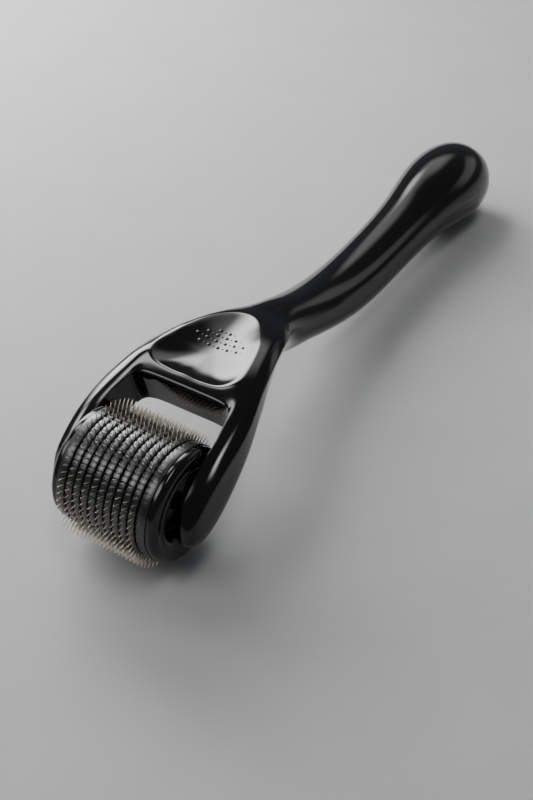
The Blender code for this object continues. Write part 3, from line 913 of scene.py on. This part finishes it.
skin = handle_surface()
for piece_name, is_upper, finish in (
    ("handle_upper", True, shell_black),
    ("handle_lower", False, lower_black),
):
    shell = split_shell(skin, piece_name, is_upper, finish)
    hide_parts(piece_name + "_shell")


def grip_dots():
    """Small raised domes in staggered rows on the thumb rest, smaller to the right."""
    bm = bmesh.new()
    tree = bvhtree.BVHTree.FromPolygons([v.co[:] for v in skin.vertices],
                                        [p.vertices[:] for p in skin.polygons])
    for y, x_first, count in DOT_ROWS:
        for k in range(count):
            x = x_first + k * DOT_PITCH
            spot, normal, _, _ = tree.ray_cast(Vector((x, y, 30.0)), Vector((0, 0, -1)))
            radius = (DOT_SMALL if k % 2 else DOT_LARGE) - DOT_SHRINK * (x + 6.0)
            height = DOT_HEIGHT * radius
            turn = normal.to_track_quat("Z", "Y").to_matrix().to_4x4()
            rings = []
            for level in range(5):
                lift = math.radians(-30.0 + 24.0 * level)
                ring = []
                for j in range(DOT_SIDES):
                    a = 2.0 * math.pi * j / DOT_SIDES
                    p = Vector((radius * math.cos(a) * math.cos(lift),
                                radius * math.sin(a) * math.cos(lift), height * math.sin(lift)))
                    ring.append(bm.verts.new(spot + turn @ p))
                rings.append(ring)
            for a, b in zip(rings, rings[1:]):
                for j in range(DOT_SIDES):
                    n = (j + 1) % DOT_SIDES
                    bm.faces.new((a[j], a[n], b[n], b[j]))
            top = bm.verts.new(spot + turn @ Vector((0.0, 0.0, height)))
            foot = bm.verts.new(spot - normal * height * 0.6)
            for j in range(DOT_SIDES):
                n = (j + 1) % DOT_SIDES
                bm.faces.new((rings[-1][j], rings[-1][n], top))
                bm.faces.new((rings[0][n], rings[0][j], foot))
    bmesh.ops.recalc_face_normals(bm, faces=bm.faces[:])
    return bm


dots = place("grip_dots", grip_dots(), shell_black, "handle", 80.0)

first_x = -ROW_PITCH * (ROWS - 1) / 2.0
for row in range(ROWS):
    disc = place("needle_row_%02d" % (row + 1), needle_disc(first_x + row * ROW_PITCH),
                 needle_titanium, "drum", 50.0)
    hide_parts("needle_disc_%02d" % (row + 1))

for row in range(ROWS - 1):
    middle = first_x + (row + 0.5) * ROW_PITCH
    band = place("band_%02d" % (row + 1),
                 notched_ring(middle - BAND_HALF, middle + BAND_HALF, True, True),
                 band_metal, "drum", 50.0)
    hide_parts("spacer_ring_%02d" % (row + 1))

for side, sign in (("left", -1), ("right", 1)):
    if sign < 0:
        ring = notched_ring(-FLANGE_OUTER_X, -FLANGE_INNER_X, False, True)
    else:
        ring = notched_ring(FLANGE_INNER_X, FLANGE_OUTER_X, True, False)
    flange = place("flange_" + side, ring, flange_metal, "drum", 50.0)
    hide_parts("flange_ring_" + side)
    cap = place("cap_" + side, end_cap(sign), cap_black, "drum", 50.0)
    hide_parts("end_cap_" + side)

for name, finish in (
    ("drum_core", core_plastic),
    ("bushing_left", bushing_plastic),
    ("bushing_right", bushing_plastic),
    ("axle_pin_left", pin_steel),
    ("axle_pin_right", pin_steel),
):
    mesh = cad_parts[name].data
    mesh.materials.clear()
    mesh.materials.append(finish)


# ---------------------------------------------------------------- stage

floor_mesh = bpy.data.meshes.new("floor")
floor_mesh.from_pydata([(-3, -3, 0), (3, -3, 0), (3, 3, 0), (-3, 3, 0)], [], [(0, 1, 2, 3)])
floor = bpy.data.objects.new("floor", floor_mesh)
bpy.context.scene.collection.objects.link(floor)
floor_material, floor_tree, floor_shader = new_material("floor_pale")
floor_noise = noise(floor_tree, object_point(floor_tree), 60.0, 6.0, 0.6)
floor_tree.links.new(ramp(floor_tree, floor_noise, ((0.3, 0.43), (0.7, 0.46))),
                     floor_shader.inputs["Base Color"])
floor_shader.inputs["Roughness"].default_value = 0.75
floor_mesh.materials.append(floor_material)
floor.location = (0.0, 0.0, -0.00005)


def toward(azimuth, elevation):
    """Direction at an azimuth from straight ahead of the drum (right positive) and a height."""
    a = math.radians(azimuth)
    e = math.radians(elevation)
    return Vector((math.sin(a) * math.cos(e), -math.cos(a) * math.cos(e), math.sin(e)))


def standing(x_axis, y_axis, z_axis, spot):
    """World matrix of an object at a spot, with its own axes along three directions."""
    return Matrix((
        (x_axis.x, y_axis.x, z_axis.x, spot.x),
        (x_axis.y, y_axis.y, z_axis.y, spot.y),
        (x_axis.z, y_axis.z, z_axis.z, spot.z),
        (0.0, 0.0, 0.0, 1.0),
    ))


def softbox(name, way, distance, width, height, radiance, target, edge=0.25, across=None):
    """Rectangular light facing a target, fading toward its edges; across is its width's way."""
    light = bpy.data.lights.new(name, "AREA")
    light.shape = "RECTANGLE"
    light.size = width
    light.size_y = height
    light.energy = radiance * math.pi * width * height
    light.use_nodes = True
    tree = light.node_tree
    emission = tree.nodes["Emission"]
    panel = tree.nodes.new("ShaderNodeNewGeometry")
    level = 1.0
    for place_across in separate(tree, panel.outputs["Parametric"])[:2]:
        fade = tree.nodes.new("ShaderNodeMapRange")
        fade.interpolation_type = "SMOOTHSTEP"
        fade.inputs["From Max"].default_value = edge
        tree.links.new(math_node(tree, "PINGPONG", place_across, 0.5), fade.inputs["Value"])
        level = math_node(tree, "MULTIPLY", level, fade.outputs["Result"])
    tree.links.new(level, emission.inputs["Strength"])
    obj = bpy.data.objects.new(name, light)
    bpy.context.scene.collection.objects.link(obj)
    z_axis = way.normalized()
    if across is None:
        across = Vector((0.0, 0.0, 1.0)).cross(z_axis)
    x_axis = (across - z_axis * across.dot(z_axis)).normalized()
    obj.matrix_world = standing(x_axis, z_axis.cross(x_axis), z_axis,
                                Vector(target) + z_axis * distance)
    obj.visible_camera = False


HEAD = (0.0, -0.035, 0.022)
GRIP = (0.0, 0.025, 0.012)
softbox("key_softbox", toward(-121.5, 26.0), 0.32, 0.37, 0.18, 14.5, HEAD, 0.30,
        toward(-148.0, 44.0) - toward(-104.0, 10.0))
softbox("arm_softbox", toward(-84.0, 21.0), 0.32, 0.15, 0.13, 9.0, HEAD, 0.4)
softbox("crest_softbox", toward(-105.0, 56.0), 0.6, 0.22, 0.17, 9.5, HEAD, 0.4)
softbox("grip_softbox", toward(-155.0, 41.0), 1.0, 0.76, 0.60, 1.5, GRIP, 0.35)
softbox("overhead_strip", Vector((0.265, -0.055, 0.95)), 0.6, 0.43, 0.17, 11.0, HEAD,
        0.42, Vector((0.5, -0.85, 0.0)))
softbox("front_fill", toward(-42.0, 47.0), 0.8, 0.50, 0.50, 4.4, (0.0, -0.055, 0.012), 0.35)
softbox("rear_strip", toward(152.0, 18.0), 1.0, 0.95, 0.36, 0.65, GRIP, 0.3)

world = bpy.data.worlds.new("studio")
bpy.context.scene.world = world
world.use_nodes = True
background = world.node_tree.nodes["Background"]
background.inputs["Color"].default_value = (0.90, 0.94, 1.0, 1.0)
background.inputs["Strength"].default_value = 0.13


# ---------------------------------------------------------------- camera

CAMERA_AZIMUTH = 34.28
CAMERA_ELEVATION = 41.76
CAMERA_ROLL = -2.13
CAMERA_DISTANCE = 193.9 * MM
CAMERA_LENS = 54.0
AIM_OFFSET = (-20.69 * MM, -13.34 * MM)

turn = math.radians(CAMERA_AZIMUTH)
roll = math.radians(CAMERA_ROLL)
back = toward(CAMERA_AZIMUTH, CAMERA_ELEVATION)
level_right = Vector((math.cos(turn), math.sin(turn), 0.0))
level_up = back.cross(level_right)
right = math.cos(roll) * level_right + math.sin(roll) * level_up
up = -math.sin(roll) * level_right + math.cos(roll) * level_up
camera_data = bpy.data.cameras.new("camera")
camera_data.lens = CAMERA_LENS
camera_data.sensor_width = 36.0
camera_data.clip_start = 0.01
camera_data.clip_end = 20.0
camera = bpy.data.objects.new("camera", camera_data)
bpy.context.scene.collection.objects.link(camera)
camera.matrix_world = standing(
    right, up, back,
    AXLE + back * CAMERA_DISTANCE - right * AIM_OFFSET[0] - up * AIM_OFFSET[1])
bpy.context.scene.camera = camera
